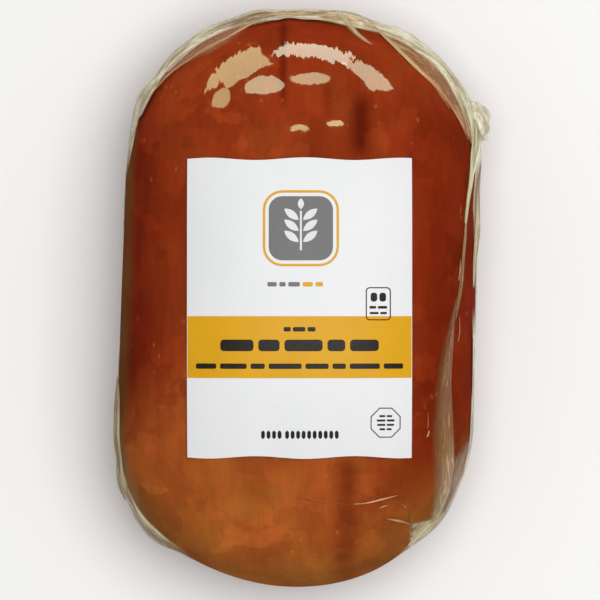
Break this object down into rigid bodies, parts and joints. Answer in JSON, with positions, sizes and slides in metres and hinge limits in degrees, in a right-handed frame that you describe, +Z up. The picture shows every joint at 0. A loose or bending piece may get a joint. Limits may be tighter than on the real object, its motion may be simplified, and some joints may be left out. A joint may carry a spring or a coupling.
{
  "type": "boneless ham",
  "caption": "Whole smoked boneless ham, shrink-wrapped in clear film with folds and a gathered corner, with a paper label on its broad face.",
  "frame": {"origin": "on the surface that the ham lies on, under the middle of its outline", "axes": "+Z up, out of the labelled face; +Y along the ham to its domed end, which is up in the picture; +X across it, to the right in the picture"},
  "size_m": [0.1772, 0.2696, 0.1183],
  "materials": {
    "smoked_ham_in_film": "clear glossy film, tight over red-brown smoked meat that turns orange-brown at the low end",
    "label_paper": "bright white coated paper with a slight sheen, printed with a warm yellow band"
  },
  "bodies": {
    "root": {"bagged_ham": "smoked_ham_in_film", "label": "label_paper"}
  },
  "joints": []
}
